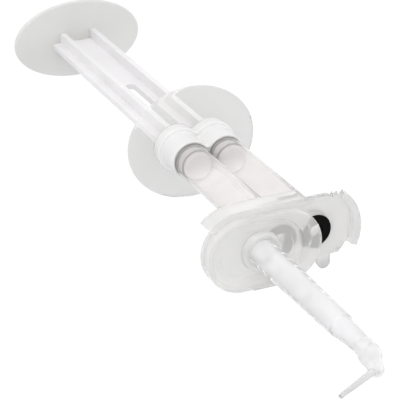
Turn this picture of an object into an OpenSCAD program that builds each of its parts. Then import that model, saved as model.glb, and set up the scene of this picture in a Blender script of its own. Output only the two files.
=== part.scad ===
// Twin-barrel dental impression syringe, stood on its thumb plate with the nozzle up. Millimetres.
// Origin: middle of the outer face of the thumb plate. X runs from the left barrel to the right barrel.
// Y points to the top of the guide block and Z from the thumb plate to the nozzle.
// At rest the plunger is drawn back and the slide head is pushed to the left, off the right port.

/* [Thumb plate] */
// Width of the oval plate
thumb_w = 33.2; // [28:0.2:40]
// Depth of the oval plate
thumb_d = 19.6; // [17:0.2:26]
// Thickness of the plate
thumb_t = 1.2; // [1:0.1:2.4]
// Distance that the plate sits above the rods
thumb_rise = 1; // [0:0.1:2]

/* [Plunger] */
// Length of rod between the thumb plate and the finger flange
rod_shown = 68.7; // [64:0.1:80]
// Length of the web that ties the rods
web_len = 33.6; // [20:0.1:34]
// Thickness of the ribs and of the web
rib_t = 1.3; // [1:0.05:1.6]
// Gap between a rib's corner and the wall of the barrel
rod_clear = 0.2; // [0.2:0.01:0.5]
// Radius of the pegs that hold the thumb plate
peg_r = 1; // [0.7:0.05:1.2]
// Length of the pegs that hold the thumb plate
peg_len = 0.6; // [0.4:0.05:0.8]

/* [Finger flange] */
// Width of the oval flange
flange_w = 30; // [26:0.2:36]
// Depth of the oval flange
flange_d = 26; // [23:0.2:32]
// Thickness of the flange
flange_t = 1.4; // [1:0.1:2.4]
// Depth of the seat for the collar
collar_seat = 0.3; // [0.2:0.05:0.5]

/* [Collar] */
// Length of the twin collar
collar_len = 8.4; // [7:0.1:10]
// Wall of the collar at its root
collar_wall = 1.25; // [1:0.05:2]
// Wall of the collar at its mouth
mouth_wall = 0.5; // [0.4:0.05:0.8]
// Length of the thick root of the collar
collar_root = 2.6; // [2:0.1:4]
// Rounding of the front edge of the collar
collar_round = 0.3; // [0.1:0.05:0.35]

/* [Barrels] */
// Outer radius of a barrel
barrel_r = 3.9; // [3.6:0.05:4.4]
// Wall of a barrel
barrel_wall = 0.5; // [0.45:0.05:0.8]
// Gap between the two barrels
barrel_gap = 0.2; // [0.1:0.05:1]
// Length of a barrel
barrel_len = 47.4; // [42:0.1:56]
// Radius of the outlet
outlet_r = 1.25; // [1:0.05:1.3]

/* [Pistons] */
// Length of a piston
piston_len = 6.6; // [6:0.1:9]
// Distance that a piston's rear end lies behind the mouth of the collar
piston_set = 2.5; // [2:0.1:4]
// Gap between a piston and the barrel
piston_clear = 0.3; // [0.25:0.01:0.4]
// Section radius of the rear ring
rear_ring_r = 0.36; // [0.3:0.02:0.55]
// Section radius of the front ring
front_ring_r = 0.24; // [0.2:0.02:0.45]
// Distance between the two rings
ring_step = 2.7; // [2:0.05:3]
// Gap between a ring and the barrel
ring_clear = 0.03; // [0.02:0.01:0.06]
// Radius of the pin at the end of a rod
pin_r = 1.1; // [0.9:0.05:1.3]
// Length of the pin at the end of a rod
pin_len = 2.8; // [2:0.1:3.5]

/* [Guide block] */
// Length of the bosses that hold the barrels
block_t = 3.1; // [2.8:0.1:4]
// Wall of a boss about its barrel
boss_wall = 0.7; // [0.5:0.05:0.9]
// Thickness of the plate between the bosses
plate_t = 1.6; // [1.5:0.1:2.4]
// Height of the plate's top edge above the barrels' axis
plate_top = 7.1; // [6.6:0.1:7.2]
// Depth of the plate's bottom edge below the barrels' axis
plate_low = 5.75; // [5.4:0.05:6.4]
// Depth of the seat for a barrel
seat_depth = 0.8; // [0.5:0.05:1]
// Depth of the pocket for a port seal
pocket_depth = 1.4; // [1:0.05:1.5]
// Radius of the bore of a port seal
seal_bore_r = 1.5; // [1.45:0.05:1.6]
// Thickness of the rails
rail_t = 1.05; // [0.8:0.05:1.5]
// Distance that the top rail reaches behind the plate
rail_drop = 0.5; // [0.2:0.05:0.8]
// Thickness of the end wall
wall_t = 1.55; // [1.2:0.05:1.8]
// Distance from the right port to the middle of the end wall's curve
wall_shift = 1; // [0.6:0.1:1.2]
// Distance that the end wall stands in front of the block
wall_front = 1.6; // [1.2:0.1:3]
// Thickness of the lips that hold the head
lip_t = 0.8; // [0.6:0.05:1.2]
// Length of the bottom rail
low_rail_len = 10; // [6:0.5:10]
// Width of the lower catch
catch_w = 2.7; // [2:0.1:4]
// Distance that the lower catch hangs below the plate
catch_drop = 3; // [2:0.1:4]

/* [Slide head] */
// Radius of the round ends of the head
head_r = 7.65; // [7.3:0.05:8.6]
// Thickness of the head
head_t = 3.8; // [3.4:0.1:5]
// Distance from the closed to the open position
head_travel = 9.4; // [9:0.1:9.8]
// Width of the raised rim
rim_w = 1.1; // [0.8:0.05:1.6]
// Height of the raised rim
rim_h = 1; // [0.6:0.05:1.2]
// Distance that the rim reaches over the end wall at the right
rim_reach = 1.2; // [0.9:0.1:1.7]
// Distance that the right end of the dish is drawn in
dish_short = 1.8; // [1.2:0.1:2]
// Depth of the well in the dish
well_depth = 0.25; // [0.15:0.05:0.4]
// Depth of the groove that the lips run in
groove_w = 0.6; // [0.5:0.05:0.8]
// Distance from the back of the head to the groove
groove_z = 1; // [0.8:0.05:1.1]
// Gap between the head and the block
slide_gap = 0.15; // [0.1:0.01:0.3]

/* [Mixer tube] */
// Outer radius of the tube at the root
tube_root_r = 2.95; // [2.8:0.05:3.2]
// Outer radius of the tube at the shoulder
tube_end_r = 2.4; // [2.3:0.05:2.7]
// Inner radius of the tube
tube_bore_r = 1.85; // [1.7:0.05:1.9]
// Length of the tube from the face of the head to the shoulder
tube_len = 32; // [26:0.5:40]
// Length of the cone from the shoulder to the neck
cone_len = 7.5; // [6:0.1:10]
// Radius of the neck
neck_r = 1.7; // [1.6:0.05:1.9]
// Outer radius of the socket ring
socket_r = 4.3; // [4:0.05:4.8]
// Height of the socket ring
socket_h = 1.2; // [0.8:0.05:1.6]
// Length of one blade of the mixing element
blade_len = 2.7; // [2.2:0.1:3.2]
// Number of blades of the mixing element
blade_count = 10; // [6:1:10]
// Thickness of a blade
blade_t = 0.7; // [0.5:0.05:0.9]

/* [Tip] */
// Radius of the spigot that the tip turns on
spigot_r = 1.1; // [1:0.05:1.2]
// Length of the spigot
spigot_len = 2; // [1.6:0.1:2.2]
// Radius of the bore through the spigot
spigot_bore_r = 0.65; // [0.5:0.05:0.7]
// Radius of the elbow's rounded body
elbow_r = 2.15; // [2:0.05:2.5]
// Distance from the neck to the middle of the elbow's body
elbow_rise = 2.5; // [2.3:0.1:3.5]
// Distance that the elbow's body sits below the tube's axis
elbow_sink = 0.5; // [0.3:0.05:0.6]
// Radius of the hub that the cannula leaves from
hub_r = 1.45; // [1.3:0.05:1.7]
// Distance from the middle of the elbow's body to the hub along the tube
hub_rise = 2.2; // [1.8:0.1:2.4]
// Distance that the hub sits below the tube's axis
hub_sink = 2.1; // [1.7:0.1:2.3]
// Length of the cannula
cannula_len = 10.9; // [8:0.1:14]
// Radius of the cannula at the root
cannula_root_r = 0.7; // [0.6:0.05:0.8]
// Radius of the cannula at the outlet
cannula_end_r = 0.42; // [0.4:0.02:0.6]
// Radius of the bore of the cannula
cannula_bore_r = 0.22; // [0.15:0.01:0.25]
// Angle between the cannula and the tube
cannula_bend = 63; // [40:1:75]
// Angle of the cannula about the tube
cannula_turn = 180; // [160:1:220]

/* [Fits] */
// Gap of a glued or snapped joint
join_gap = 0.03; // [0.02:0.01:0.05]
// Gap of the tip on its spigot
turn_gap = 0.05; // [0.03:0.01:0.08]

/* [Hidden] */
$fn = 64;
pitch = 2 * barrel_r + barrel_gap;
x_left = -pitch / 2;
x_right = pitch / 2;
bore_r = barrel_r - barrel_wall;
rod_r = bore_r - rod_clear;
rib_h = 2 * sqrt(rod_r * rod_r - rib_t * rib_t / 4);
rod_w = rib_h - 0.8;
flange_z = thumb_t + rod_shown;
collar_z = flange_z + flange_t;
seat_z = collar_z - collar_seat;
mouth_z = collar_z + collar_len;
collar_r = barrel_r + collar_wall;
mouth_r = barrel_r + mouth_wall;
barrel_end_z = collar_z + barrel_len;
block_z = barrel_end_z - seat_depth;
face_z = block_z + block_t;
plate_z = face_z - plate_t;
boss_r = barrel_r + join_gap + boss_wall;
head_z = face_z + slide_gap;
head_top_z = head_z + head_t;
dish_z = head_top_z - rim_h;
head_x = -head_travel;
groove_r = head_r - groove_w;
rail_in = head_r + slide_gap;
rail_out = rail_in + rail_t;
lip_z = head_z + groove_z + slide_gap;
lip_in = groove_r + slide_gap;
rail_end_x = x_left + barrel_r + 0.3;
well_r = socket_r + 0.45;
seal_r = bore_r + 0.05;
piston_z = mouth_z - piston_set;
piston_r = bore_r - piston_clear;
rear_ring_z = mouth_z;
front_ring_z = mouth_z + ring_step;
ring_top_r = bore_r - ring_clear;
duct_z = head_z + 0.8;
duct_h = 1.2;
root_z = dish_z - 0.7;
shoulder_z = dish_z + tube_len;
neck_z = shoulder_z + cone_len;
elbow_z = neck_z + turn_gap;
ball_z = elbow_z + elbow_rise;
hub_z = ball_z + hub_rise;
spigot_end_z = neck_z + spigot_len;
cut = 0.02;

// Flat oval disc of width w, depth d and thickness t
module oval(w, d, t) {
    intersection() {
        translate([0, 0, -1])
            scale([w / d, 1, 1])
                cylinder(d = d, h = t + 2, $fn = 160);
        bar([-w, -d, 0], [w, d, t]);
    }
}

// Stadium plate with round ends of radius r at the barrels' pitch, the right one moved by reach
module stadium(r, t, reach = 0) {
    for (x = [x_left, x_right + reach])
        translate([x, 0, 0])
            cylinder(r = r, h = t);
    translate([x_left, -r, 0])
        cube([pitch + reach, 2 * r, t]);
}

// Bar with a square-edged box shape, given by its two corners
module bar(low, high) {
    translate(low)
        cube([high[0] - low[0], high[1] - low[1], high[2] - low[2]]);
}

// Arc of a ring about a point on X, from angle a0 to angle a1
module arc(x, r0, r1, a0, a1, z0, z1) {
    translate([x, 0, z0])
        rotate([0, 0, a0])
            rotate_extrude(angle = a1 - a0)
                translate([r0, 0])
                    square([r1 - r0, z1 - z0]);
}

module thumb_plate() {
    color([0.86, 0.86, 0.85])
        difference() {
            translate([0, thumb_rise, 0])
                oval(thumb_w, thumb_d, thumb_t);
            for (x = [x_left, x_right])
                translate([x, 0, thumb_t - peg_len - join_gap])
                    cylinder(r = peg_r + join_gap, h = peg_len + 1);
        }
}

// One cross-section rod with its peg and its pin
module rod(x) {
    z0 = thumb_t + join_gap;
    z1 = piston_z - join_gap;
    translate([x, 0, 0]) {
        bar([-rib_t / 2, -rib_h / 2, z0], [rib_t / 2, rib_h / 2, z1]);
        bar([-rod_w / 2, -rib_t / 2, z0], [rod_w / 2, rib_t / 2, z1]);
        translate([0, 0, thumb_t - peg_len])
            cylinder(r = peg_r, h = peg_len + 1);
        translate([0, 0, z1 - 1])
            cylinder(r = pin_r, h = pin_len + 1);
    }
}

module plunger() {
    slit_w = pitch - rod_w;
    color([0.93, 0.92, 0.94])
        difference() {
            union() {
                rod(x_left);
                rod(x_right);
                bar([x_left, -rib_t / 2, thumb_t + join_gap], [x_right, rib_t / 2, thumb_t + web_len + slit_w / 2]);
            }
            translate([0, 0, thumb_t + web_len + slit_w / 2])
                rotate([90, 0, 0])
                    cylinder(d = slit_w, h = rib_t + 2, center = true);
        }
}

module piston(x) {
    color([0.88, 0.88, 0.88])
        translate([x, 0, 0])
            difference() {
                translate([0, 0, piston_z])
                    cylinder(r = piston_r, h = piston_len);
                groove(rear_ring_r, rear_ring_z);
                groove(front_ring_r, front_ring_z);
                translate([0, 0, piston_z - cut])
                    cylinder(r = pin_r + join_gap, h = pin_len + 2 * join_gap + cut);
            }
}

// Groove in a piston for a ring of section radius s
module groove(s, z) {
    translate([0, 0, z - s - join_gap])
        difference() {
            cylinder(r = bore_r + 1, h = 2 * s + 2 * join_gap);
            translate([0, 0, -1])
                cylinder(r = ring_top_r - 2 * s - join_gap, h = 2 * s + 3);
        }
}

// Round-section sealing ring of section radius s
module seal_ring(x, s, z) {
    color([0.45, 0.44, 0.44])
        translate([x, 0, z])
            rotate_extrude()
                translate([ring_top_r - s, 0])
                    circle(r = s, $fn = 32);
}

module piston_left() {
    piston(x_left);
}

module piston_right() {
    piston(x_right);
}

module rear_ring_left() {
    seal_ring(x_left, rear_ring_r, rear_ring_z);
}

module rear_ring_right() {
    seal_ring(x_right, rear_ring_r, rear_ring_z);
}

module front_ring_left() {
    seal_ring(x_left, front_ring_r, front_ring_z);
}

module front_ring_right() {
    seal_ring(x_right, front_ring_r, front_ring_z);
}

module finger_flange() {
    color([0.86, 0.86, 0.85])
        difference() {
            translate([0, 0, flange_z])
                oval(flange_w, flange_d, flange_t);
            for (x = [x_left, x_right])
                translate([x, 0, flange_z - 1])
                    cylinder(r = bore_r, h = flange_t + 2);
            for (x = [x_left, x_right])
                translate([x, 0, seat_z])
                    cylinder(r = collar_r + join_gap, h = collar_seat + 1);
        }
}

// Stepped boss of the collar about one barrel, with a rounded shoulder and a rounded mouth
module boss(x) {
    s = collar_r - mouth_r;
    f = collar_round;
    k = collar_seat - join_gap;
    h = collar_len + k;
    translate([x, 0, collar_z - k])
        rotate_extrude() {
            square([collar_r, collar_root + k - s]);
            translate([mouth_r, collar_root + k - s])
                circle(r = s, $fn = 48);
            square([mouth_r, h - f]);
            square([mouth_r - f, h]);
            translate([mouth_r - f, h - f])
                circle(r = f, $fn = 32);
        }
}

module twin_collar() {
    color([0.97, 0.97, 0.97])
        difference() {
            union() {
                boss(x_left);
                boss(x_right);
            }
            for (x = [x_left, x_right])
                translate([x, 0, seat_z - 1])
                    cylinder(r = barrel_r + join_gap, h = collar_seat + collar_len + 2);
        }
}

module barrel(x) {
    color([0.9, 0.92, 0.93, 0.4])
        translate([x, 0, seat_z + join_gap])
            difference() {
                cylinder(r = barrel_r, h = collar_seat + barrel_len - 2 * join_gap);
                translate([0, 0, -1])
                    cylinder(r = bore_r, h = collar_seat + barrel_len + 2);
            }
}

module barrel_left() {
    barrel(x_left);
}

module barrel_right() {
    barrel(x_right);
}

// Top rail with its lip and the hook that stops the open head
module top_rail() {
    x0 = x_left + head_x;
    x1 = rail_end_x;
    top = lip_z + lip_t;
    bar([x_left, plate_top - 1, plate_z], [x1, rail_in + cut, face_z]);
    bar([x0, rail_in, plate_z - rail_drop], [x1, rail_out, top]);
    bar([x0, lip_in, lip_z], [x1, rail_in + cut, top]);
    arc(x0, rail_in, rail_out, 90, 137, plate_z - rail_drop, top);
    arc(x0, lip_in, rail_in + cut, 90, 137, lip_z, top);
}

// Bottom rail with its lip
module bottom_rail() {
    x0 = x_left - head_r + 1.2;
    x1 = x0 + low_rail_len;
    top = lip_z + lip_t;
    bar([x0, -rail_out, plate_z], [x1, -rail_in, top]);
    bar([x0, -rail_in - cut, lip_z], [x1, -lip_in, top]);
    bar([x0, -rail_in - cut, plate_z], [x1, -plate_low + 1, face_z]);
}

// Curved end wall at the right, on a ledge of the plate
module end_wall() {
    cx = x_right - wall_shift;
    inner = rail_in + wall_shift;
    arc(x_right, head_r - 1, head_r + 0.6, -28, 59, plate_z, face_z);
    arc(cx, head_r - 1 + wall_shift, inner + 0.6, -24, 48, plate_z, face_z);
    arc(cx, inner, inner + wall_t, -24, 48, face_z - 0.4, face_z + wall_front);
}

// Rounded catch at the lower right
module catch() {
    cx = x_right + 2;
    cy = -plate_low - catch_drop + catch_w / 2;
    bar([cx - catch_w / 2, cy, face_z - 1], [cx + catch_w / 2, -plate_low + 1, face_z]);
    translate([cx, cy, face_z - 1])
        cylinder(d = catch_w, h = 1);
}

module guide_block() {
    color([0.92, 0.93, 0.93, 0.5])
        difference() {
            union() {
                for (x = [x_left, x_right])
                    translate([x, 0, block_z])
                        cylinder(r = boss_r, h = block_t);
                intersection() {
                    translate([0, 0, plate_z])
                        stadium(head_r, plate_t);
                    bar([-3 * head_r, -plate_low, block_z], [3 * head_r, plate_top, face_z + 1]);
                }
                end_wall();
                top_rail();
                bottom_rail();
                catch();
            }
            for (x = [x_left, x_right])
                translate([x, 0, 0]) {
                    translate([0, 0, block_z - 1])
                        cylinder(r = barrel_r + join_gap, h = seat_depth + 1);
                    translate([0, 0, face_z - pocket_depth])
                        cylinder(r = seal_r + join_gap, h = pocket_depth + 1);
                    translate([0, 0, block_z])
                        cylinder(r = outlet_r, h = block_t);
                }
        }
}

module port_seal(x) {
    color([0.03, 0.03, 0.03])
        translate([x, 0, face_z - pocket_depth + join_gap])
            difference() {
                cylinder(r = seal_r, h = pocket_depth + join_gap);
                translate([0, 0, -1])
                    cylinder(r = seal_bore_r, h = pocket_depth + 3);
            }
}

module port_seal_left() {
    port_seal(x_left);
}

module port_seal_right() {
    port_seal(x_right);
}

module slide_head() {
    color([0.92, 0.93, 0.93, 0.5])
        translate([head_x, 0, 0])
            difference() {
                union() {
                    translate([0, 0, head_z])
                        stadium(head_r, groove_z);
                    translate([0, 0, head_z])
                        stadium(groove_r, head_t - rim_h);
                    translate([0, 0, lip_z + lip_t + slide_gap])
                        stadium(head_r, head_top_z - lip_z - lip_t - slide_gap, rim_reach);
                }
                translate([0, 0, dish_z + well_depth])
                    stadium(head_r - rim_w, rim_h + 1, -dish_short);
                translate([0, 0, dish_z])
                    stadium(well_r, rim_h + 1, -dish_short);
                for (x = [x_left, x_right])
                    translate([x, 0, head_z - 1])
                        cylinder(r = outlet_r, h = duct_z - head_z + 1 + duct_h);
                bar([x_left, -outlet_r, duct_z], [x_right, outlet_r, duct_z + duct_h]);
                translate([0, 0, duct_z])
                    cylinder(r = tube_bore_r, h = head_t);
                translate([0, 0, root_z])
                    cylinder(r = tube_root_r + join_gap, h = head_t);
            }
}

module socket_ring() {
    color([0.93, 0.94, 0.94, 0.5])
        translate([head_x, 0, dish_z + join_gap])
            difference() {
                cylinder(r1 = socket_r, r2 = socket_r - 0.4, h = socket_h);
                translate([0, 0, -1])
                    cylinder(r = tube_root_r + join_gap, h = socket_h + 2);
            }
}

module mixer_tube() {
    top = dish_z + socket_h + 2 * join_gap;
    color([0.92, 0.93, 0.94, 0.4])
        translate([head_x, 0, 0])
            rotate_extrude()
                polygon([
                    [tube_bore_r, root_z + join_gap], [tube_root_r, root_z + join_gap],
                    [tube_root_r, top], [tube_end_r, shoulder_z],
                    [tube_end_r - 0.2, shoulder_z + 0.3], [neck_r, neck_z],
                    [spigot_r, neck_z], [spigot_r, spigot_end_z],
                    [spigot_bore_r, spigot_end_z], [spigot_bore_r, neck_z - 1], [tube_bore_r, shoulder_z]
                ]);
}

module mixing_element() {
    lap = 0.3;
    z0 = root_z + 0.6;
    w = 2 * sqrt((tube_bore_r - 0.12) * (tube_bore_r - 0.12) - blade_t * blade_t / 4);
    color([0.97, 0.97, 0.97])
        translate([head_x, 0, z0])
            for (i = [0:blade_count - 1])
                translate([0, 0, i * blade_len])
                    rotate([0, 0, 45 + 90 * i])
                        bar([-w / 2, -blade_t / 2, 0], [w / 2, blade_t / 2, blade_len + lap]);
}

// Moves its children to the start of the cannula, Z along the cannula
module on_cannula() {
    translate([head_x, -hub_sink, hub_z])
        rotate([0, cannula_bend, cannula_turn])
            children();
}

module tip_elbow() {
    duct_lean = atan2(hub_sink, hub_rise);
    duct_len = sqrt(hub_sink * hub_sink + hub_rise * hub_rise);
    color([0.93, 0.93, 0.93, 0.6])
        difference() {
            union() {
                translate([head_x, 0, elbow_z])
                    cylinder(r = elbow_r - 0.25, h = elbow_rise);
                translate([head_x, -elbow_sink, ball_z])
                    sphere(r = elbow_r);
                translate([head_x, -hub_sink, hub_z])
                    sphere(r = hub_r);
                translate([head_x, 0, ball_z])
                    rotate([duct_lean, 0, 0])
                        cylinder(r1 = elbow_r - 0.4, r2 = hub_r - 0.1, h = duct_len);
            }
            translate([head_x, 0, elbow_z - 1])
                cylinder(r = spigot_r + turn_gap, h = spigot_end_z + 0.3 - elbow_z + 1);
            translate([head_x, 0, spigot_end_z])
                cylinder(r = spigot_bore_r, h = ball_z - spigot_end_z);
            translate([head_x, 0, ball_z])
                sphere(r = spigot_bore_r);
            translate([head_x, 0, ball_z])
                rotate([duct_lean, 0, 0])
                    cylinder(r = spigot_bore_r, h = duct_len);
            on_cannula()
                cylinder(r = cannula_root_r + join_gap, h = elbow_r + 2);
        }
}

module cannula() {
    color([0.78, 0.78, 0.78])
        on_cannula()
            difference() {
                translate([0, 0, join_gap])
                    cylinder(r1 = cannula_root_r, r2 = cannula_end_r, h = cannula_len);
                cylinder(r = cannula_bore_r, h = cannula_len + 1);
            }
}

thumb_plate();
plunger();
piston_left();
piston_right();
rear_ring_left();
rear_ring_right();
front_ring_left();
front_ring_right();
finger_flange();
twin_collar();
barrel_left();
barrel_right();
guide_block();
port_seal_left();
port_seal_right();
slide_head();
socket_ring();
mixer_tube();
mixing_element();
tip_elbow();
cannula();
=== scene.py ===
import math

import bmesh
import bpy
from mathutils import Matrix, Vector


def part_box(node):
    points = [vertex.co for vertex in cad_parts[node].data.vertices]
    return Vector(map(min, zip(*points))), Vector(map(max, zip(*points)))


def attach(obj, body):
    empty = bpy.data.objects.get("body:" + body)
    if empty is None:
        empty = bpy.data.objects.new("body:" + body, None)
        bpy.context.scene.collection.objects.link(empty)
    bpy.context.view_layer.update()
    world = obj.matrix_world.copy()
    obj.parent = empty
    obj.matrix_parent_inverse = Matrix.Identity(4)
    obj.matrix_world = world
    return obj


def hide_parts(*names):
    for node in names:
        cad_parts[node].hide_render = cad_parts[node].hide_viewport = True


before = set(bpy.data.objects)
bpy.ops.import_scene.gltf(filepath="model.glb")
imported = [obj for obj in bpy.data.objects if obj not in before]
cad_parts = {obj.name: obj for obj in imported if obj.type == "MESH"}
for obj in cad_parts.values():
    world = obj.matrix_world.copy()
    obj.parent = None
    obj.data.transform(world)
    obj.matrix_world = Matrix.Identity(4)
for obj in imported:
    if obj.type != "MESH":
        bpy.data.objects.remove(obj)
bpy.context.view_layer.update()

# Camera: the photograph's own view, from in front of the nozzle, above and to the left.
# The place, turn and lens come from fitting the plates, barrels and tube to the picture.
photo_camera = bpy.data.objects.new("photo_camera", bpy.data.cameras.new("photo_camera"))
photo_camera.data.sensor_width = 36
photo_camera.data.lens = 153.86
photo_camera.data.clip_start = 0.01
photo_camera.location = (-0.13955, 0.15187, 0.38483)
photo_camera.rotation_euler = [math.radians(turn) for turn in (-25.431, -24.614, -0.867)]
bpy.context.scene.collection.objects.link(photo_camera)
bpy.context.scene.camera = photo_camera

# Floor and light: a white table under soft boxes in a pale room, as for a catalogue picture.
# The floor shows white to the eye and in gloss, and keeps the syringe's shadow.
bpy.context.scene.view_settings.view_transform = "Standard"
bpy.context.scene.cycles.max_bounces = 24
bpy.context.scene.cycles.transmission_bounces = 24
bpy.context.scene.cycles.transparent_max_bounces = 24


def new_tree(owner):
    """Node tree of a material or world, emptied."""
    owner.use_nodes = True
    tree = owner.node_tree
    tree.nodes.clear()
    return tree


def add_node(tree, kind, **values):
    """New node with its properties, or its inputs where the name is an input's, set."""
    node = tree.nodes.new(kind)
    for name, value in values.items():
        if hasattr(node, name) and name not in node.inputs:
            setattr(node, name, value)
        else:
            node.inputs[name.replace("_", " ")].default_value = value
    return node


def join(tree, source, target):
    """Links an output socket to an input socket."""
    tree.links.new(source, target)


WHITE_SHARE = 0.85
floor_paint = bpy.data.materials.new("floor_paint")
tree = new_tree(floor_paint)
path = add_node(tree, "ShaderNodeLightPath")
gloss_only = add_node(tree, "ShaderNodeMath", operation="SUBTRACT", use_clamp=True)
join(tree, path.outputs["Is Glossy Ray"], gloss_only.inputs[0])
join(tree, path.outputs["Is Transmission Ray"], gloss_only.inputs[1])
seen = add_node(tree, "ShaderNodeMath", operation="MAXIMUM")
join(tree, path.outputs["Is Camera Ray"], seen.inputs[0])
join(tree, gloss_only.outputs[0], seen.inputs[1])
share = add_node(tree, "ShaderNodeMath", operation="MULTIPLY", use_clamp=True)
share.inputs[1].default_value = WHITE_SHARE
join(tree, seen.outputs[0], share.inputs[0])
matte = add_node(tree, "ShaderNodeBsdfDiffuse", Color=(0.74, 0.74, 0.74, 1))
glow = add_node(tree, "ShaderNodeEmission", Color=(1, 1, 1, 1), Strength=1.1)
mix = add_node(tree, "ShaderNodeMixShader")
join(tree, share.outputs[0], mix.inputs[0])
join(tree, matte.outputs[0], mix.inputs[1])
join(tree, glow.outputs[0], mix.inputs[2])
join(tree, mix.outputs[0], add_node(tree, "ShaderNodeOutputMaterial").inputs[0])
floor_mesh = bpy.data.meshes.new("floor")
reach, drop = 4.0, -0.0002
floor_mesh.from_pydata(
    [(-reach, -reach, drop), (reach, -reach, drop), (reach, reach, drop), (-reach, reach, drop)],
    [], [(0, 1, 2, 3)])
floor = bpy.data.objects.new("floor", floor_mesh)
floor.data.materials.append(floor_paint)
bpy.context.scene.collection.objects.link(floor)

room = bpy.data.worlds.new("room")
bpy.context.scene.world = room
tree = new_tree(room)
where = add_node(tree, "ShaderNodeTexCoord")
apart = add_node(tree, "ShaderNodeSeparateXYZ")
join(tree, where.outputs["Generated"], apart.inputs[0])
height = add_node(tree, "ShaderNodeValToRGB")
height.color_ramp.elements[0].position = 0.02
height.color_ramp.elements[0].color = (1.0, 1.0, 1.0, 1)
height.color_ramp.elements[1].position = 0.9
height.color_ramp.elements[1].color = (0.72, 0.72, 0.73, 1)
join(tree, apart.outputs["Z"], height.inputs[0])
path = add_node(tree, "ShaderNodeLightPath")
shown = add_node(tree, "ShaderNodeMix", data_type="RGBA")
join(tree, path.outputs["Is Camera Ray"], shown.inputs["Factor"])
join(tree, height.outputs[0], shown.inputs[6])
shown.inputs[7].default_value = (1, 1, 1, 1)
light = add_node(tree, "ShaderNodeBackground", Strength=1.1)
join(tree, shown.outputs[2], light.inputs["Color"])
join(tree, light.outputs[0], add_node(tree, "ShaderNodeOutputWorld").inputs[0])


def soft_box(name, place, aim, width, depth, power):
    """Rectangular soft light at a place, turned to face the aim, both in metres."""
    lamp = bpy.data.lights.new(name, "AREA")
    lamp.shape = "RECTANGLE"
    lamp.size, lamp.size_y, lamp.energy = width, depth, power
    box = bpy.data.objects.new(name, lamp)
    box.location = place
    box.rotation_euler = (Vector(aim) - Vector(place)).to_track_quat("-Z", "Y").to_euler()
    bpy.context.scene.collection.objects.link(box)


syringe_middle = (0, 0, 0.09)
soft_box("key_box", (-0.30, 0.70, 0.22), syringe_middle, 0.6, 0.4, 1.6)
soft_box("side_box", (0.6, 0.1, 0.30), syringe_middle, 0.35, 0.5, 0.5)

# Thumb plate: a thin oval disc that the thumb presses, the end that the syringe stands on.
# Moulded in a frosted, slightly see-through plastic, flat on both faces with a rounded edge.
TO_METRES = 0.001
HALF_SIDE = 0.49


def cad_mm(node):
    """Lowest and highest corner of a node of the frame, in millimetres."""
    low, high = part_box(node)
    return low / TO_METRES, high / TO_METRES


def rounded(points, steps=5, closed=False):
    """Profile whose corners (a, b, radius) are turned into soft curves of that radius.

    A curve takes up less than half of each side that it joins."""
    smooth = []
    count = len(points)
    for i, point in enumerate(points):
        here = Vector(point[:2])
        radius = point[2] if len(point) > 2 else 0
        if radius == 0 or (not closed and i in (0, count - 1)):
            smooth.append(here)
            continue
        back = Vector(points[i - 1][:2]) - here
        ahead = Vector(points[(i + 1) % count][:2]) - here
        start = here + back.normalized() * min(radius, back.length * HALF_SIDE)
        end = here + ahead.normalized() * min(radius, ahead.length * HALF_SIDE)
        for s in range(steps + 1):
            t = s / steps
            smooth.append(start * (1 - t) ** 2 + here * 2 * t * (1 - t) + end * t * t)
    return smooth


def add_loft(bm, rings, wrap=False):
    """Skin over a stack of rings of points, closed by caps or by joining the last to the first."""
    loops = [[bm.verts.new(point) for point in ring] for ring in rings]
    count = len(loops[0])
    pairs = list(zip(loops, loops[1:]))
    if wrap:
        pairs.append((loops[-1], loops[0]))
    for low, high in pairs:
        for i in range(count):
            j = (i + 1) % count
            bm.faces.new((low[i], low[j], high[j], high[i]))
    if not wrap:
        bm.faces.new(list(reversed(loops[0])))
        bm.faces.new(loops[-1])


def new_piece(name, bm, material, sharp=40):
    """Object from a mesh in millimetres: doubles merged, faces outward, smooth but for sharp edges."""
    bmesh.ops.remove_doubles(bm, verts=bm.verts, dist=1e-4)
    bmesh.ops.recalc_face_normals(bm, faces=bm.faces)
    mesh = bpy.data.meshes.new(name)
    bm.to_mesh(mesh)
    bm.free()
    mesh.transform(Matrix.Scale(TO_METRES, 4))
    piece = bpy.data.objects.new(name, mesh)
    bpy.context.scene.collection.objects.link(piece)
    mesh.materials.append(material)
    smooth_faces(piece, sharp)
    return piece


def smooth_faces(piece, sharp):
    """Smooth shading, but for edges that turn by more than the sharp angle in degrees."""
    for face in piece.data.polygons:
        face.use_smooth = True
    piece.data.set_sharp_from_angle(angle=math.radians(sharp))


def settle(piece, body, slot, *nodes):
    """Puts a finished piece on its body and hides the nodes that it stands for; its finish (slot) is not
    used.
    """
    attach(piece, body)
    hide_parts(*nodes)


def oval_ring(x, y, z, half_w, half_d, steps=128):
    """Points of an upright-facing oval about a middle."""
    turns = [2 * math.pi * i / steps for i in range(steps)]
    return [(x + half_w * math.cos(t), y + half_d * math.sin(t), z) for t in turns]


def oval_plate(name, node, edge, material):
    """Flat oval disc that fills its node's box, with its edge rounded."""
    low, high = cad_mm(node)
    mid, half = (low + high) / 2, (high - low) / 2
    inset = 2.5 * edge
    outline = rounded([(inset, low.z), (0, low.z, edge), (0, high.z, edge), (inset, high.z)], 6)
    bm = bmesh.new()
    add_loft(bm, [oval_ring(mid.x, mid.y, p.y, half.x - p.x, half.y - p.x) for p in outline])
    return new_piece(name, bm, material, 60)


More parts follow.
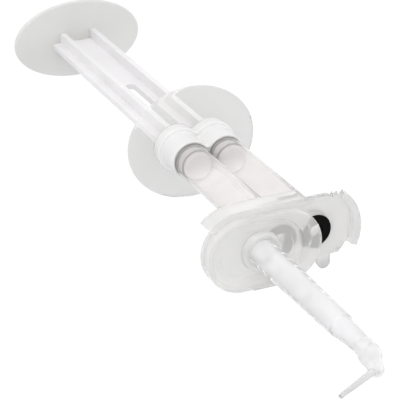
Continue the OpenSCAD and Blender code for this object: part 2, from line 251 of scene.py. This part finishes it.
def grain_group():
    """Moulded surface: a fine grain for the bump, soft clouds for colour and gloss."""
    group = bpy.data.node_groups.new("moulded_grain", "ShaderNodeTree")
    for name, kind, default in (("Grain Scale", "NodeSocketFloat", 900.0),
                                ("Cloud Scale", "NodeSocketFloat", 60.0)):
        socket = group.interface.new_socket(name, in_out="INPUT", socket_type=kind)
        socket.default_value = default
    for name in ("Grain", "Cloud"):
        group.interface.new_socket(name, in_out="OUTPUT", socket_type="NodeSocketFloat")
    inputs = group.nodes.new("NodeGroupInput")
    outputs = group.nodes.new("NodeGroupOutput")
    place = group.nodes.new("ShaderNodeTexCoord")
    for source, target, detail in (("Grain Scale", "Grain", 3.0), ("Cloud Scale", "Cloud", 2.0)):
        noise = group.nodes.new("ShaderNodeTexNoise")
        noise.inputs["Detail"].default_value = detail
        group.links.new(place.outputs["Object"], noise.inputs["Vector"])
        group.links.new(inputs.outputs[source], noise.inputs["Scale"])
        group.links.new(noise.outputs["Fac"], outputs.inputs[target])
    return group


moulded_grain = grain_group()


def plastic(name, dark, pale, gloss, matt, cloud_scale=60.0, bump=0.08, grain_scale=900.0):
    """Plastic whose colour and gloss drift between two values, with a fine moulded grain."""
    material = bpy.data.materials.new(name)
    tree = new_tree(material)
    grain = add_node(tree, "ShaderNodeGroup", node_tree=moulded_grain)
    grain.inputs["Cloud Scale"].default_value = cloud_scale
    grain.inputs["Grain Scale"].default_value = grain_scale
    colour = add_node(tree, "ShaderNodeValToRGB")
    colour.color_ramp.elements[0].position = 0.3
    colour.color_ramp.elements[0].color = (*dark, 1)
    colour.color_ramp.elements[1].position = 0.7
    colour.color_ramp.elements[1].color = (*pale, 1)
    sheen = add_node(tree, "ShaderNodeMapRange", From_Min=0.3, From_Max=0.7, To_Min=gloss, To_Max=matt)
    rough = add_node(tree, "ShaderNodeBump", Strength=bump, Distance=0.0001)
    shader = add_node(tree, "ShaderNodeBsdfPrincipled")
    join(tree, grain.outputs["Cloud"], colour.inputs[0])
    join(tree, grain.outputs["Cloud"], sheen.inputs["Value"])
    join(tree, grain.outputs["Grain"], rough.inputs["Height"])
    join(tree, colour.outputs[0], shader.inputs["Base Color"])
    join(tree, sheen.outputs[0], shader.inputs["Roughness"])
    join(tree, rough.outputs[0], shader.inputs["Normal"])
    out = add_node(tree, "ShaderNodeOutputMaterial")
    join(tree, shader.outputs[0], out.inputs[0])
    return material


def shader_of(material):
    """The one surface shader of a plastic."""
    return next(node for node in material.node_tree.nodes if node.type == "BSDF_PRINCIPLED")


def set_even(material, **values):
    """Sets values of a plastic that are the same all over it."""
    for name, value in values.items():
        shader_of(material).inputs[name.replace("_", " ")].default_value = value


frosted_plate = plastic("frosted_plate", (0.81, 0.81, 0.795), (0.85, 0.85, 0.835), 0.3, 0.42)
set_even(frosted_plate, Transmission_Weight=0.12)
thumb = oval_plate("thumb_disc", "thumb_plate", 0.4, frosted_plate)
settle(thumb, "plunger_unit", "frosted_plate", "thumb_plate")

# Plunger: two rods of plus-shaped section, tied by a web behind and forked ahead of it.
# One moulding in a milky, faintly lilac plastic, pegged into the thumb plate.


def soft_copy(name, node, edge, material, steps=3, sharp=40):
    """Copy of a node with every hard edge turned into a small round, as a moulding has."""
    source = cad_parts[node].data
    bm = bmesh.new()
    bm.from_mesh(source)
    bmesh.ops.scale(bm, vec=(1 / TO_METRES,) * 3, verts=bm.verts)
    bmesh.ops.remove_doubles(bm, verts=bm.verts, dist=1e-3)
    bmesh.ops.dissolve_limit(bm, angle_limit=math.radians(1), verts=bm.verts, edges=bm.edges)
    piece = new_piece(name, bm, material, sharp)
    bevel = piece.modifiers.new("edge_round", "BEVEL")
    bevel.width = edge * TO_METRES
    bevel.segments = steps
    bevel.limit_method = "ANGLE"
    bevel.angle_limit = math.radians(sharp)
    make_plain(piece)
    smooth_faces(piece, sharp)
    return piece


def make_plain(piece):
    """Turns a piece with its modifiers into a plain mesh with none."""
    graph = bpy.context.evaluated_depsgraph_get()
    material = piece.data.materials[0]
    mesh = bpy.data.meshes.new_from_object(piece.evaluated_get(graph))
    piece.modifiers.clear()
    piece.data = mesh
    if not mesh.materials:
        mesh.materials.append(material)


milky_plastic = plastic("milky_plastic", (0.82, 0.81, 0.815), (0.87, 0.86, 0.865), 0.28, 0.4, 90.0)
set_even(milky_plastic, Subsurface_Weight=0.35, Subsurface_Radius=(1.0, 0.95, 1.05),
         Subsurface_Scale=0.0012)
rods = soft_copy("plunger_rods", "plunger", 0.16, milky_plastic)
settle(rods, "plunger_unit", "milky_plastic", "plunger")

# Pistons: one plug on the pin of each rod, turned down for two rings.
# Moulded in a satin pale grey plastic and pressed on the rod.


def lathe(bm, profile, x, y=0.0, steps=96):
    """Ring turned from a closed profile of radius and height about an upright axis."""
    turns = [2 * math.pi * i / steps for i in range(steps)]
    add_loft(bm, [[(x + p[0] * math.cos(t), y + p[0] * math.sin(t), p[1]) for t in turns]
                  for p in profile], wrap=True)


def barrel_x(node):
    """Middle of a node across the two barrels, in millimetres."""
    low, high = cad_mm(node)
    return (low.x + high.x) / 2


def drift(material, axis, start, end, colour):
    """Leads a plastic's colour over to another along one axis of the piece, in millimetres: a painted
    shade fade.
    """
    tree = material.node_tree
    place = add_node(tree, "ShaderNodeTexCoord")
    apart = add_node(tree, "ShaderNodeSeparateXYZ")
    share = add_node(tree, "ShaderNodeMapRange", interpolation_type="SMOOTHSTEP",
                     From_Min=start * TO_METRES, From_Max=end * TO_METRES)
    blend = add_node(tree, "ShaderNodeMix", data_type="RGBA")
    base = shader_of(material).inputs["Base Color"]
    join(tree, base.links[0].from_socket, blend.inputs[6])
    blend.inputs[7].default_value = (*colour, 1)
    join(tree, place.outputs["Object"], apart.inputs[0])
    join(tree, apart.outputs[axis], share.inputs["Value"])
    join(tree, share.outputs[0], blend.inputs["Factor"])
    join(tree, blend.outputs[2], base)


piston_plastic = plastic("piston_plastic", (0.46, 0.435, 0.435), (0.52, 0.495, 0.495), 0.3, 0.45, 150.0)
# Painted shade: each plug keeps its darker grey on the +Y side and fades to a paler grey towards −Y.
drift(piston_plastic, "Y", 1.2, -3.0, (0.90, 0.885, 0.88))
PIN_HOLE, PIN_DEPTH, NOSE, RING_GAP, CORE = 1.13, 2.85, 0.6, 0.03, 0.02
for side in ("left", "right"):
    low, high = cad_mm("piston_" + side)
    radius = (high.x - low.x) / 2
    profile = [(PIN_HOLE, low.z), (radius, low.z, 0.2)]
    for ring in ("rear_ring_", "front_ring_"):
        ring_low, ring_high = cad_mm(ring + side)
        width = ring_high.z - ring_low.z
        floor_r = (ring_high.x - ring_low.x) / 2 - width - RING_GAP
        for z in (ring_low.z - RING_GAP, ring_high.z + RING_GAP):
            edge = [(radius, z, 0.06), (floor_r, z)]
            profile += edge if z < ring_low.z else reversed(edge)
    pin_end = low.z + PIN_DEPTH
    profile += [(radius, high.z, NOSE), (CORE, high.z), (CORE, pin_end), (PIN_HOLE, pin_end)]
    bm = bmesh.new()
    lathe(bm, rounded(profile, 4, closed=True), barrel_x("piston_" + side))
    plug = new_piece("piston_plug_" + side, bm, piston_plastic)
    settle(plug, "plunger_unit", "piston_plastic", "piston_" + side)

# Piston rings: a thick rear ring and a thin front ring in the grooves of each piston.
# Dark grey rubber, stretched over the plug.
ring_rubber = plastic("ring_rubber", (0.04, 0.035, 0.035), (0.07, 0.065, 0.065), 0.4, 0.6, 300.0)
set_even(ring_rubber, Specular_IOR_Level=0.2)
for side in ("left", "right"):
    for place in ("rear", "front"):
        node = place + "_ring_" + side
        low, high = cad_mm(node)
        half = (high.z - low.z) / 2
        middle = (high.x - low.x) / 2 - half
        turns = [2 * math.pi * i / 24 for i in range(24)]
        mid_z = (low.z + high.z) / 2
        section = [(middle + half * math.cos(t), mid_z + half * math.sin(t)) for t in turns]
        bm = bmesh.new()
        lathe(bm, section, barrel_x(node))
        band = new_piece(place + "_band_" + side, bm, ring_rubber)
        settle(band, "plunger_unit", "ring_rubber", node)

# Finger flange: a wide oval disc that two fingers pull on, with a hole for each rod.
# The same frosted plastic as the thumb plate, but clear enough to show the rods behind it.


def carve(piece, bores):
    """Cuts round holes through a piece: each is (x, y, low z, high z, radius) in millimetres."""
    bm = bmesh.new()
    for x, y, z0, z1, radius in bores:
        turns = [2 * math.pi * i / 72 for i in range(72)]
        add_loft(bm, [[(x + radius * math.cos(t), y + radius * math.sin(t), z) for t in turns]
                      for z in (z0, z1)])
    cutter = new_piece(piece.name + "_cutter", bm, piece.data.materials[0])
    cut_with(piece, cutter, "DIFFERENCE")


def cut_with(piece, other, operation):
    """Joins or cuts a piece with another, which is then removed."""
    cut = piece.modifiers.new("cut", "BOOLEAN")
    cut.operation = operation
    cut.solver = "EXACT"
    cut.object = other
    make_plain(piece)
    bpy.data.objects.remove(other)
    smooth_faces(piece, 40)


WAIST = 0.9
half_pitch = barrel_x("barrel_right")
low, high = cad_mm("twin_collar")
root_r, seat_z = (high.y - low.y) / 2, low.z


def figure_eight(radius, z, steps=40, waist_steps=8):
    """Outline of two circles at the barrels' pitch, with a soft waist between them."""
    waist_y = math.sqrt((radius + WAIST) ** 2 - half_pitch ** 2)
    lean = math.atan2(waist_y, half_pitch)
    points = []
    for sign in (1, -1):
        start, end = -(math.pi - lean), math.pi - lean
        for i in range(steps + 1):
            t = start + (end - start) * i / steps
            points.append((sign * (half_pitch + radius * math.cos(t)), sign * radius * math.sin(t), z))
        for i in range(1, waist_steps):
            t = -lean - (math.pi - 2 * lean) * i / waist_steps
            points.append((sign * WAIST * math.cos(t), sign * (waist_y + WAIST * math.sin(t)), z))
    return points


def clear_plastic(name, dark, pale, gloss, matt, clear, bend, bump=0.02):
    """Plastic that is clear to a share and bends light by an index, with a faint cloud.

    Lamp rays pass it, so that what it holds is lit."""
    material = plastic(name, dark, pale, gloss, matt, 120.0, bump, 500.0)
    set_even(material, Transmission_Weight=clear, IOR=bend, Coat_Weight=0.4)
    tree = material.node_tree
    path = add_node(tree, "ShaderNodeLightPath")
    open_to_lamps = add_node(tree, "ShaderNodeBsdfTransparent", Color=(0.97, 0.97, 0.97, 1))
    mix = add_node(tree, "ShaderNodeMixShader")
    join(tree, path.outputs["Is Shadow Ray"], mix.inputs[0])
    join(tree, shader_of(material).outputs[0], mix.inputs[1])
    join(tree, open_to_lamps.outputs[0], mix.inputs[2])
    out = next(node for node in tree.nodes if node.type == "OUTPUT_MATERIAL")
    join(tree, mix.outputs[0], out.inputs[0])
    return material


ROD_HOLE, SEAT_GAP = 3.4, 0.03
smoky_plate = clear_plastic(
    "smoky_plate", (0.93, 0.93, 0.92), (0.96, 0.96, 0.95), 0.05, 0.10, 0.88, 1.1)
flange = oval_plate("grip_flange", "finger_flange", 0.5, smoky_plate)
low, high = cad_mm("finger_flange")
carve(flange, [(barrel_x("barrel_" + side), 0, low.z - 1, high.z + 1, ROD_HOLE)
               for side in ("left", "right")])
bm = bmesh.new()
add_loft(bm, [figure_eight(root_r + SEAT_GAP, z) for z in (seat_z - SEAT_GAP, high.z + 1)])
cut_with(flange, new_piece("collar_seat", bm, smoky_plate), "DIFFERENCE")
flange_top = high.z
settle(flange, "barrel_unit", "frosted_plate", "finger_flange")

# Twin collar: a figure-eight boss in front of the flange that holds the two barrels.
# Glossy white plastic, with a thick root, a rounded shoulder and a thin mouth at each barrel.
low, high = cad_mm("twin_collar")
white_plastic = plastic(
    "white_plastic", (0.83, 0.825, 0.82), (0.87, 0.865, 0.86), 0.16, 0.24, 80.0, 0.04)
set_even(white_plastic, Subsurface_Weight=0.2, Subsurface_Radius=(1.0, 1.0, 1.0), Subsurface_Scale=0.001,
         Coat_Weight=0.3)
ROOT_LENGTH, MOUTH_STEP, BARREL_SEAT = 2.6, 0.75, 3.93
shoulder_z = flange_top + ROOT_LENGTH
outline = rounded([(root_r - 0.4, low.z), (root_r, low.z, 0.05), (root_r, shoulder_z, 0.85),
                   (root_r - MOUTH_STEP, shoulder_z, 0.5), (root_r - MOUTH_STEP - 0.05, high.z, 0.35),
                   (4.1, high.z), (4.05, high.z - 0.02)], 6)
bm = bmesh.new()
add_loft(bm, [figure_eight(p.x, p.y) for p in outline])
collar = new_piece("white_collar", bm, white_plastic)
carve(collar, [(barrel_x("barrel_" + side), 0, low.z - 1, high.z + 1, BARREL_SEAT)
               for side in ("left", "right")])
settle(collar, "barrel_unit", "white_plastic", "twin_collar")

# Barrels: two clear tubes side by side that hold the two pastes.
# Drawn tube of clear plastic, glued into the collar behind and the guide block ahead.
BARREL_WALL, BARREL_EDGE = 0.5, 0.1
barrel_clear = clear_plastic(
    "barrel_clear", (0.91, 0.895, 0.89), (0.95, 0.935, 0.93), 0.02, 0.04, 0.8, 1.06)
for side in ("left", "right"):
    node = "barrel_" + side
    low, high = cad_mm(node)
    outer = (high.x - low.x) / 2
    inner = outer - BARREL_WALL
    wall = [(inner, low.z), (outer, low.z), (outer, high.z), (inner, high.z)]
    wall = rounded([(r, z, BARREL_EDGE) for r, z in wall], 3, closed=True)
    bm = bmesh.new()
    lathe(bm, wall, barrel_x(node), steps=128)
    tube = new_piece("clear_barrel_" + side, bm, barrel_clear)
    settle(tube, "barrel_unit", "clear_plastic", node)

# Guide block: the clear plate that closes the barrels, with the rails that the head slides in.
# A hook stops the head at the left, a curved wall at the right, and a small catch hangs below.
block_clear = clear_plastic(
    "block_clear", (0.89, 0.885, 0.875), (0.93, 0.925, 0.915), 0.05, 0.1, 0.65, 1.25)
# Painted shade: the block's colour darkens towards −Y, from −6 to −8 mm, on the catch that hangs below.
drift(block_clear, "Y", -6.0, -8.0, (0.76, 0.76, 0.75))
block = soft_copy("clear_block", "guide_block", 0.14, block_clear, 3, 35)
settle(block, "barrel_unit", "clear_plastic", "guide_block")

# Port seals: a flat black ring in the block's pocket at the outlet of each barrel.
# Soft matt rubber, pressed in, a hair proud of the block so that the head seals on it.
SEAL_BORE = 1.5
black_rubber = plastic("black_rubber", (0.003, 0.003, 0.003), (0.006, 0.006, 0.006), 0.5, 0.65, 400.0)
set_even(black_rubber, Specular_IOR_Level=0.04)
for side in ("left", "right"):
    node = "port_seal_" + side
    low, high = cad_mm(node)
    outer = (high.x - low.x) / 2
    section = rounded([(SEAL_BORE, low.z, 0.1), (outer, low.z, 0.1),
                       (outer, high.z, 0.25), (SEAL_BORE, high.z, 0.25)], 5, closed=True)
    bm = bmesh.new()
    lathe(bm, section, barrel_x(node))
    seal = new_piece("black_seal_" + side, bm, black_rubber)
    settle(seal, "barrel_unit", "black_rubber", node)

# Slide head: a clear cap with round ends that slides on the block, open to the left.
# A raised rim runs round a dished face and reaches over the foot at the right.
# The lips of the rails run in a groove, and ducts lead both pastes to the mixer tube.
low, high = cad_mm("slide_head")
full_r = (high.y - low.y) / 2
head_x = low.x + full_r + half_pitch
RIM_REACH, DISH_SHORT = 1.2, 1.8


def stadium_ring(radius, z, reach, steps=48):
    """Outline with round ends of a radius at the barrels' pitch, the right one moved by the reach."""
    points = []
    for sign, middle in ((1, head_x + half_pitch + reach), (-1, head_x - half_pitch)):
        for i in range(steps + 1):
            t = -math.pi / 2 + math.pi * i / steps
            points.append((middle + sign * radius * math.cos(t), sign * radius * math.sin(t), z))
    return points


head_clear = clear_plastic(
    "head_clear", (0.91, 0.905, 0.895), (0.95, 0.945, 0.935), 0.03, 0.06, 0.66, 1.22)
groove_low, groove_high, dish_z = low.z + 1.0, low.z + 2.1, high.z - 1.0
groove_r, ledge_z, WELL = full_r - 0.6, dish_z + 0.25, 4.65
foot = [(full_r - 1.5, low.z), (full_r, low.z, 0.25), (full_r, groove_low, 0.2),
        (groove_r, groove_low, 0.1), (groove_r, groove_high)]
rim = [(groove_r + 0.02, groove_high), (full_r, groove_high, 0.25), (full_r, high.z, 0.7),
       (full_r - 0.6, high.z)]
dish = [(full_r - 0.62, high.z), (full_r - 0.9, high.z, 0.25), (full_r - 1.3, ledge_z, 0.7),
        (WELL + 0.1, ledge_z, 0.1), (WELL, dish_z, 0.1), (3.5, dish_z)]
rings = []
for outline, reach in ((foot, 0.0), (rim, RIM_REACH), (dish, -DISH_SHORT)):
    rings += [stadium_ring(p.x, p.y, reach) for p in rounded(outline, 6)]
bm = bmesh.new()
add_loft(bm, rings)
head = new_piece("clear_head", bm, head_clear)
TUBE_SEAT, TUBE_BORE, PORT = 2.98, 1.85, 1.25
duct_low, duct_high, tube_seat_z = low.z + 0.8, low.z + 2.0, dish_z - 0.7
carve(head, [(head_x, 0, tube_seat_z, high.z + 1, TUBE_SEAT)])
carve(head, [(head_x, 0, duct_low, high.z, TUBE_BORE)])
carve(head, [(head_x + sign * half_pitch, 0, low.z - 1, duct_high, PORT) for sign in (1, -1)])
duct_plan = ((-half_pitch, -PORT), (half_pitch, -PORT), (half_pitch, PORT), (-half_pitch, PORT))
bm = bmesh.new()
add_loft(bm, [[(head_x + x, y, z) for x, y in duct_plan] for z in (duct_low, duct_high)])
cut_with(head, new_piece("duct", bm, head_clear), "DIFFERENCE")
settle(head, "head_unit", "clear_plastic", "slide_head")

# Socket ring: the short ring that holds the root of the mixer tube on the head's face.
# Clear plastic, welded to the head, with a soft top edge.
socket_clear = clear_plastic(
    "socket_clear", (0.90, 0.90, 0.895), (0.95, 0.95, 0.945), 0.1, 0.18, 0.6, 1.35)
low, high = cad_mm("socket_ring")
outer = (high.x - low.x) / 2
section = rounded([(TUBE_SEAT, low.z), (outer, low.z, 0.1), (outer - 0.4, high.z, 0.5),
                   (TUBE_SEAT, high.z, 0.1)], 6, closed=True)
bm = bmesh.new()
lathe(bm, section, head_x)
collet = new_piece("clear_socket", bm, socket_clear)
settle(collet, "head_unit", "clear_plastic", "socket_ring")

# Mixer tube: a slim clear tube that tapers to a shoulder, a cone and the spigot of the tip.
# Moulded in clear plastic and pushed into the socket ring.
tube_clear = clear_plastic(
    "tube_clear", (0.955, 0.95, 0.955), (0.985, 0.98, 0.985), 0.06, 0.12, 0.68, 1.37)
low, high = cad_mm("mixer_tube")
SPIGOT_LENGTH, CONE_LENGTH = 2.0, 7.5
TUBE_ROOT, TUBE_END, NECK, SPIGOT, SPIGOT_BORE = 2.95, 2.4, 1.7, 1.1, 0.65
neck_z = high.z - SPIGOT_LENGTH
shoulder_z = neck_z - CONE_LENGTH
profile = [(TUBE_BORE, low.z), (TUBE_ROOT, low.z, 0.1), (TUBE_ROOT - 0.02, low.z + 2.0),
           (TUBE_END, shoulder_z, 0.25), (TUBE_END - 0.2, shoulder_z + 0.3, 0.2), (NECK, neck_z, 0.15),
           (SPIGOT, neck_z), (SPIGOT, high.z, 0.15), (SPIGOT_BORE, high.z, 0.1),
           (SPIGOT_BORE, neck_z - 1.0, 0.4), (TUBE_BORE, shoulder_z, 0.6)]
bm = bmesh.new()
lathe(bm, rounded(profile, 5, closed=True), head_x, steps=112)
tube = new_piece("clear_mixer_tube", bm, tube_clear)
settle(tube, "head_unit", "clear_plastic", "mixer_tube")

# Mixing element: a row of short blades in the tube, each twisted half a turn, left and right in turn.
# White plastic, one long moulding that folds the two pastes into each other.
low, high = cad_mm("mixing_element")
BLADES, BLADE_THICK, CLEAR_OF_WALL = 10, 0.6, 0.98
element_length = high.z - low.z
element_r = (high.x - low.x) / 2 / math.cos(math.pi / 4) * CLEAR_OF_WALL


def element_tree():
    """Geometry nodes: a flat strip per blade, twisted about the axis and given a thickness."""
    group = bpy.data.node_groups.new("mixing_blades", "GeometryNodeTree")
    group.interface.new_socket("Geometry", in_out="OUTPUT", socket_type="NodeSocketGeometry")
    for name, kind in (("Radius", "NodeSocketFloat"), ("Blade Length", "NodeSocketFloat"),
                       ("Thickness", "NodeSocketFloat"), ("Blades", "NodeSocketInt"),
                       ("Material", "NodeSocketMaterial")):
        group.interface.new_socket(name, in_out="INPUT", socket_type=kind)
    nodes, links = group.nodes, group.links
    given = nodes.new("NodeGroupInput")
    result = nodes.new("NodeGroupOutput")

    def maths(operation, a, b=None):
        """Output of a maths node fed by sockets or numbers."""
        node = nodes.new("ShaderNodeMath")
        node.operation = operation
        for socket, value in zip(node.inputs, (a, b)):
            if value is None:
                continue
            if isinstance(value, (int, float)):
                socket.default_value = value
            else:
                links.new(value, socket)
        return node.outputs[0]

    def blade(hand):
        """One strip from z 0 to the blade's length, turned half round by the given hand."""
        grid = nodes.new("GeometryNodeMeshGrid")
        links.new(maths("MULTIPLY", given.outputs["Radius"], 2), grid.inputs["Size X"])
        links.new(given.outputs["Blade Length"], grid.inputs["Size Y"])
        grid.inputs["Vertices X"].default_value = 9
        grid.inputs["Vertices Y"].default_value = 25
        place = nodes.new("GeometryNodeInputPosition")
        split = nodes.new("ShaderNodeSeparateXYZ")
        links.new(place.outputs[0], split.inputs[0])
        along = maths("ADD", maths("DIVIDE", split.outputs["Y"], given.outputs["Blade Length"]), 0.5)
        angle = maths("MULTIPLY", along, hand * math.pi)
        new_place = nodes.new("ShaderNodeCombineXYZ")
        links.new(maths("MULTIPLY", split.outputs["X"], maths("COSINE", angle)), new_place.inputs["X"])
        links.new(maths("MULTIPLY", split.outputs["X"], maths("SINE", angle)), new_place.inputs["Y"])
        links.new(maths("MULTIPLY", along, given.outputs["Blade Length"]), new_place.inputs["Z"])
        move = nodes.new("GeometryNodeSetPosition")
        links.new(grid.outputs["Mesh"], move.inputs["Geometry"])
        links.new(new_place.outputs[0], move.inputs["Position"])
        both = nodes.new("GeometryNodeJoinGeometry")
        for offset in (0.5, -0.5):
            thick = nodes.new("GeometryNodeExtrudeMesh")
            thick.inputs["Individual"].default_value = False
            links.new(move.outputs[0], thick.inputs["Mesh"])
            shift = maths("MULTIPLY", given.outputs["Thickness"], offset)
            links.new(shift, thick.inputs["Offset Scale"])
            links.new(thick.outputs["Mesh"], both.inputs[0])
        return both.outputs[0]

    line = nodes.new("GeometryNodeMeshLine")
    links.new(given.outputs["Blades"], line.inputs["Count"])
    step = nodes.new("ShaderNodeCombineXYZ")
    links.new(given.outputs["Blade Length"], step.inputs["Z"])
    links.new(step.outputs[0], line.inputs["Offset"])
    index = nodes.new("GeometryNodeInputIndex")
    odd = maths("MODULO", index.outputs[0], 2)
    joined = nodes.new("GeometryNodeJoinGeometry")
    for hand, which in ((1, 0), (-1, 1)):
        pick = nodes.new("FunctionNodeCompare")
        pick.data_type = "FLOAT"
        pick.operation = "EQUAL"
        links.new(odd, pick.inputs[0])
        pick.inputs[1].default_value = which
        place_all = nodes.new("GeometryNodeInstanceOnPoints")
        links.new(line.outputs["Mesh"], place_all.inputs["Points"])
        links.new(pick.outputs[0], place_all.inputs["Selection"])
        links.new(blade(hand), place_all.inputs["Instance"])
        turn = nodes.new("FunctionNodeEulerToRotation")
        spin = nodes.new("ShaderNodeCombineXYZ")
        spin.inputs["Z"].default_value = which * math.pi / 2
        links.new(spin.outputs[0], turn.inputs[0])
        links.new(turn.outputs[0], place_all.inputs["Rotation"])
        links.new(place_all.outputs[0], joined.inputs[0])
    real = nodes.new("GeometryNodeRealizeInstances")
    links.new(joined.outputs[0], real.inputs[0])
    paint = nodes.new("GeometryNodeSetMaterial")
    links.new(real.outputs[0], paint.inputs["Geometry"])
    links.new(given.outputs["Material"], paint.inputs["Material"])
    links.new(paint.outputs[0], result.inputs[0])
    return group


blade_white = plastic("blade_white", (0.92, 0.92, 0.925), (0.97, 0.97, 0.975), 0.3, 0.4, 200.0)
set_even(blade_white, Subsurface_Weight=0.6, Subsurface_Radius=(1.0, 1.0, 1.0), Subsurface_Scale=0.0015)
element = bpy.data.objects.new("mixing_blades", bpy.data.meshes.new("mixing_blades"))
bpy.context.scene.collection.objects.link(element)
maker = element.modifiers.new("blades", "NODES")
maker.node_group = element_tree()
sizes = {"Radius": element_r * TO_METRES, "Blade Length": element_length / BLADES * TO_METRES,
         "Thickness": BLADE_THICK * TO_METRES, "Blades": BLADES, "Material": blade_white}
for socket in maker.node_group.interface.items_tree:
    if socket.in_out == "INPUT":
        maker[socket.identifier] = sizes[socket.name]
element.data.materials.append(blade_white)
make_plain(element)
element.data.transform(Matrix.Translation(Vector((head_x, 0, low.z)) * TO_METRES))
smooth_faces(element, 40)
settle(element, "head_unit", "white_plastic", "mixing_element")

# Tip elbow: the rounded cap that turns on the spigot and bends the flow to the side.
# Hazy see-through plastic, two soft bulges drawn into one another.
tip_hazy = clear_plastic(
    "tip_hazy", (0.95, 0.945, 0.945), (0.98, 0.975, 0.975), 0.08, 0.14, 0.5, 1.4)
low, high = cad_mm("tip_elbow")
BALL_R, HUB_R, SKIRT_R, TRIM_R = 2.15, 1.45, 1.9, 6.0
ELBOW_BORE, BORE_DEPTH = 1.15, 2.25
ball = Vector((head_x, -0.5, low.z + 2.5))
hub = Vector((head_x, -2.1, low.z + 4.7))
BEND, TURN = math.radians(63), math.radians(180)
cannula_way = Vector((math.sin(BEND) * math.cos(TURN), math.sin(BEND) * math.sin(TURN), math.cos(BEND)))


def add_tube(bm, spine, steps=48):
    """Tube along a spine of (point, radius), its rings square to the way it runs."""
    rings, across = [], Vector((1, 0, 0))
    for i, (point, radius) in enumerate(spine):
        way = (spine[min(i + 1, len(spine) - 1)][0] - spine[max(i - 1, 0)][0]).normalized()
        across = (across - way * across.dot(way)).normalized()
        upright = way.cross(across)
        rings.append([point + across * radius * math.cos(t) + upright * radius * math.sin(t)
                      for t in (2 * math.pi * k / steps for k in range(steps))])
    add_loft(bm, rings)


def add_ball(bm, centre, radius, steps=40):
    """Closed ball about a centre."""
    bmesh.ops.create_uvsphere(bm, u_segments=steps, v_segments=steps // 2, radius=radius,
                              matrix=Matrix.Translation(centre))


bm = bmesh.new()
add_ball(bm, ball, BALL_R)
elbow = new_piece("tip_elbow_cap", bm, tip_hazy)
waist = [(ball, BALL_R - 0.3), (hub, HUB_R - 0.05)]
skirt = [(Vector((head_x, 0, low.z)), SKIRT_R), (Vector((head_x, 0, ball.z)), SKIRT_R)]
for shape, add_shape, values in (("hub", add_ball, (hub, HUB_R)), ("waist", add_tube, (waist,)),
                                 ("skirt", add_tube, (skirt,))):
    bm = bmesh.new()
    add_shape(bm, *values)
    cut_with(elbow, new_piece("elbow_" + shape, bm, tip_hazy), "UNION")
remesh = elbow.modifiers.new("one_skin", "REMESH")
remesh.mode = "VOXEL"
remesh.voxel_size = 0.00012
ease = elbow.modifiers.new("ease", "SMOOTH")
ease.factor, ease.iterations = 0.5, 12
make_plain(elbow)
carve(elbow, [(head_x, 0, low.z - 3.0, low.z, TRIM_R)])
carve(elbow, [(head_x, 0, low.z - 1.0, low.z + BORE_DEPTH, ELBOW_BORE)])
settle(elbow, "tip_unit", "tip_plastic", "tip_elbow")

# Cannula: the thin tapered outlet that leaves the elbow at an angle.
# Drawn in the same hazy plastic, glued into the elbow, open at its end.
tip_grey = clear_plastic("tip_grey", (0.76, 0.76, 0.76), (0.82, 0.82, 0.82), 0.15, 0.25, 0.3, 1.4)
CANNULA, ROOT_R, END_R, BORE_R, ROOT_GAP = 10.9, 0.7, 0.42, 0.22, 0.03
section = rounded([(BORE_R, 0.0), (ROOT_R, 0.0, 0.1), (END_R, CANNULA, 0.15), (BORE_R, CANNULA, 0.1)],
                  4, closed=True)
bm = bmesh.new()
lathe(bm, section, 0.0, steps=48)
root = hub + cannula_way * ROOT_GAP
facing = cannula_way.to_track_quat("Z", "Y").to_matrix().to_4x4()
bmesh.ops.transform(bm, matrix=Matrix.Translation(root) @ facing, verts=bm.verts)
outlet = new_piece("tip_cannula", bm, tip_grey)
settle(outlet, "tip_unit", "tip_plastic", "cannula")
